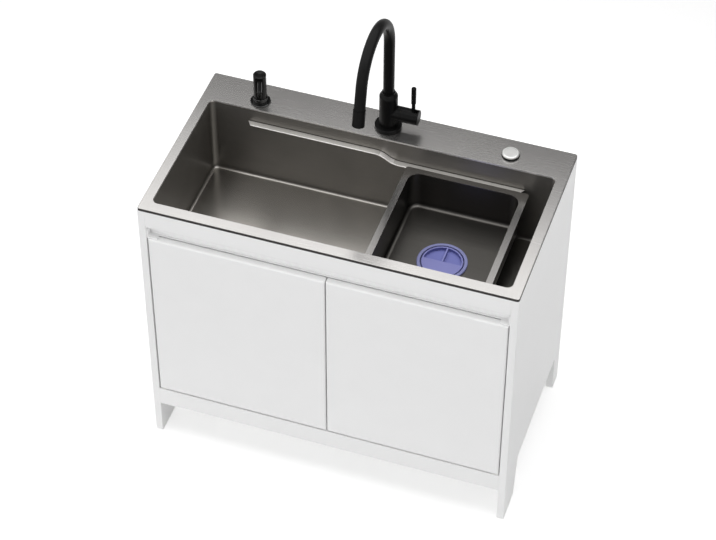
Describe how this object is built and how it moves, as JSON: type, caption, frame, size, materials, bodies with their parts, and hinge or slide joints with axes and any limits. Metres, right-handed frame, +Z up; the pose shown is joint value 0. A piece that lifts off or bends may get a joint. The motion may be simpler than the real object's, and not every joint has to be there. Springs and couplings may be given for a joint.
{
  "type": "kitchen sink unit",
  "caption": "Free-standing white cabinet with a brushed steel sink, sliding rinse basin, black gooseneck mixer with side lever, soap pump and pop-up waste button.",
  "frame": {"origin": "on the floor, at the middle of the unit's plan", "axes": "+Z up, +X to the right of someone facing the doors, -Y out of the doors"},
  "size_m": [0.82, 0.45, 1.0404],
  "materials": {
    "side_board": "white satin lacquered board",
    "door_board": "white satin lacquered board",
    "front_board": "white satin lacquered board",
    "inner_board": "white melamine faced board",
    "channel_sheet": "white powder coat",
    "hinge_plate": "white powder coat",
    "pin_steel": "zinc plated",
    "white_nylon": "moulded",
    "magnet_case": "moulded",
    "deck_steel": "long brushed grey coating",
    "bowl_steel": "satin grey coating",
    "ledge_steel": "satin",
    "basin_steel": "satin grey coating",
    "black_rubber": "matt",
    "damping_mat": "matt",
    "plug_plastic": "satin moulded",
    "ring_plastic": "satin moulded",
    "waste_steel": "polished",
    "waste_plastic": "moulded",
    "button_cap": "bright",
    "button_barrel": "moulded",
    "fitting_plastic": "moulded",
    "pump_black": "satin black",
    "pump_gloss": "gloss black",
    "pump_inner": "moulded",
    "bottle_plastic": "translucent white",
    "faucet_black": "matt black",
    "sleeve_black": "satin black",
    "aerator_plastic": "moulded",
    "brass_part": "turned"
  },
  "bodies": {
    "cabinet": {"back_board": "inner_board", "bottom_shelf": "inner_board", "bowl": "bowl_steel", "button_body": "button_barrel", "cam_locks": "pin_steel", "cartridge": "brass_part", "deck": "deck_steel", "deck_seal": "black_rubber", "faucet_body": "faucet_black", "faucet_gasket": "black_rubber", "faucet_nut": "brass_part", "faucet_shank": "brass_part", "faucet_washer": "black_rubber", "finger_channel": "channel_sheet", "fitting_nuts": "fitting_plastic", "fitting_washers": "black_rubber", "foot_glides": "white_nylon", "front_rail": "front_board", "kick_board": "front_board", "ledge_rail_front": "ledge_steel", "ledge_rail_rear": "ledge_steel", "magnetic_catches": "magnet_case", "outlet_pipe": "waste_plastic", "pivot_bushes": "white_nylon", "pivot_plates": "hinge_plate", "pump_collar": "pump_black", "pump_cylinder": "pump_inner", "rear_rail": "inner_board", "side_panel_left": "side_board", "side_panel_right": "side_board", "soap_bottle": "bottle_plastic", "sound_pads": "damping_mat", "tailpiece": "waste_plastic", "trap_body": "waste_plastic", "trap_cup": "waste_plastic", "trap_nuts": "waste_plastic", "waste_body": "waste_plastic", "waste_flange": "waste_steel", "waste_gasket": "black_rubber"},
    "left_door": {"door_left": "door_board", "door_pins_left": "pin_steel", "strike_plate_left": "pin_steel"},
    "right_door": {"door_right": "door_board", "door_pins_right": "pin_steel", "strike_plate_right": "pin_steel"},
    "basin": {"rinse_basin": "basin_steel", "basin_ring": "ring_plastic"},
    "plug": {"basin_plug": "plug_plastic"},
    "strainer": {"waste_basket": "waste_steel"},
    "waste_stopper": {"stopper": "waste_steel", "stopper_seal": "black_rubber"},
    "button": {"drain_button": "button_cap"},
    "spout": {"faucet_spout": "faucet_black", "spout_sleeve": "sleeve_black", "aerator": "aerator_plastic"},
    "hub": {"lever_hub": "faucet_black", "lever_pin": "pin_steel"},
    "lever": {"lever_rod": "faucet_black"},
    "soap_pump": {"pump_head": "pump_gloss", "pump_stem": "pump_inner"}
  },
  "joints": [
    {"name": "left_door_hinge", "type": "hinge", "parent": "cabinet", "child": "left_door", "pos_m": [-0.3835, -0.217, 0.148], "axis": [0, 0, -1], "range_deg": [0, 100]},
    {"name": "right_door_hinge", "type": "hinge", "parent": "cabinet", "child": "right_door", "pos_m": [0.3835, -0.217, 0.148], "axis": [0, 0, 1], "range_deg": [0, 100]},
    {"name": "basin_slide", "type": "slide", "parent": "cabinet", "child": "basin", "axis": [1, 0, 0], "range_m": [-0.012, 0.045]},
    {"name": "plug_lift", "type": "slide", "parent": "basin", "child": "plug", "axis": [0, 0, 1], "range_m": [0, 0.05]},
    {"name": "strainer_lift", "type": "slide", "parent": "cabinet", "child": "strainer", "axis": [0, 0, 1], "range_m": [0, 0.025]},
    {"name": "stopper_lift", "type": "slide", "parent": "strainer", "child": "waste_stopper", "axis": [0, 0, 1], "range_m": [0, 0.008]},
    {"name": "button_press", "type": "slide", "parent": "cabinet", "child": "button", "axis": [0, 0, -1], "range_m": [0, 0.003], "stiffness_N_per_m": 500, "springref_m": -0.004},
    {"name": "spout_swivel", "type": "hinge", "parent": "cabinet", "child": "spout", "pos_m": [0.0034, 0.18, 0.77], "axis": [0, 0, 1], "range_deg": [-110, 110]},
    {"name": "temperature_turn", "type": "hinge", "parent": "cabinet", "child": "hub", "pos_m": [0.04, 0.18, 0.743], "axis": [1, 0, 0], "range_deg": [-45, 45]},
    {"name": "flow_tilt", "type": "hinge", "parent": "hub", "child": "lever", "pos_m": [0.0588, 0.18, 0.743], "axis": [0, 1, 0], "range_deg": [0, 18]},
    {"name": "pump_press", "type": "slide", "parent": "cabinet", "child": "soap_pump", "axis": [0, 0, -1], "range_m": [0, 0.012], "stiffness_N_per_m": 120, "springref_m": -0.02}
  ],
  "couplings": [
    {"joint": "stopper_lift", "follows": "button_press", "ratio": 2.6}
  ]
}
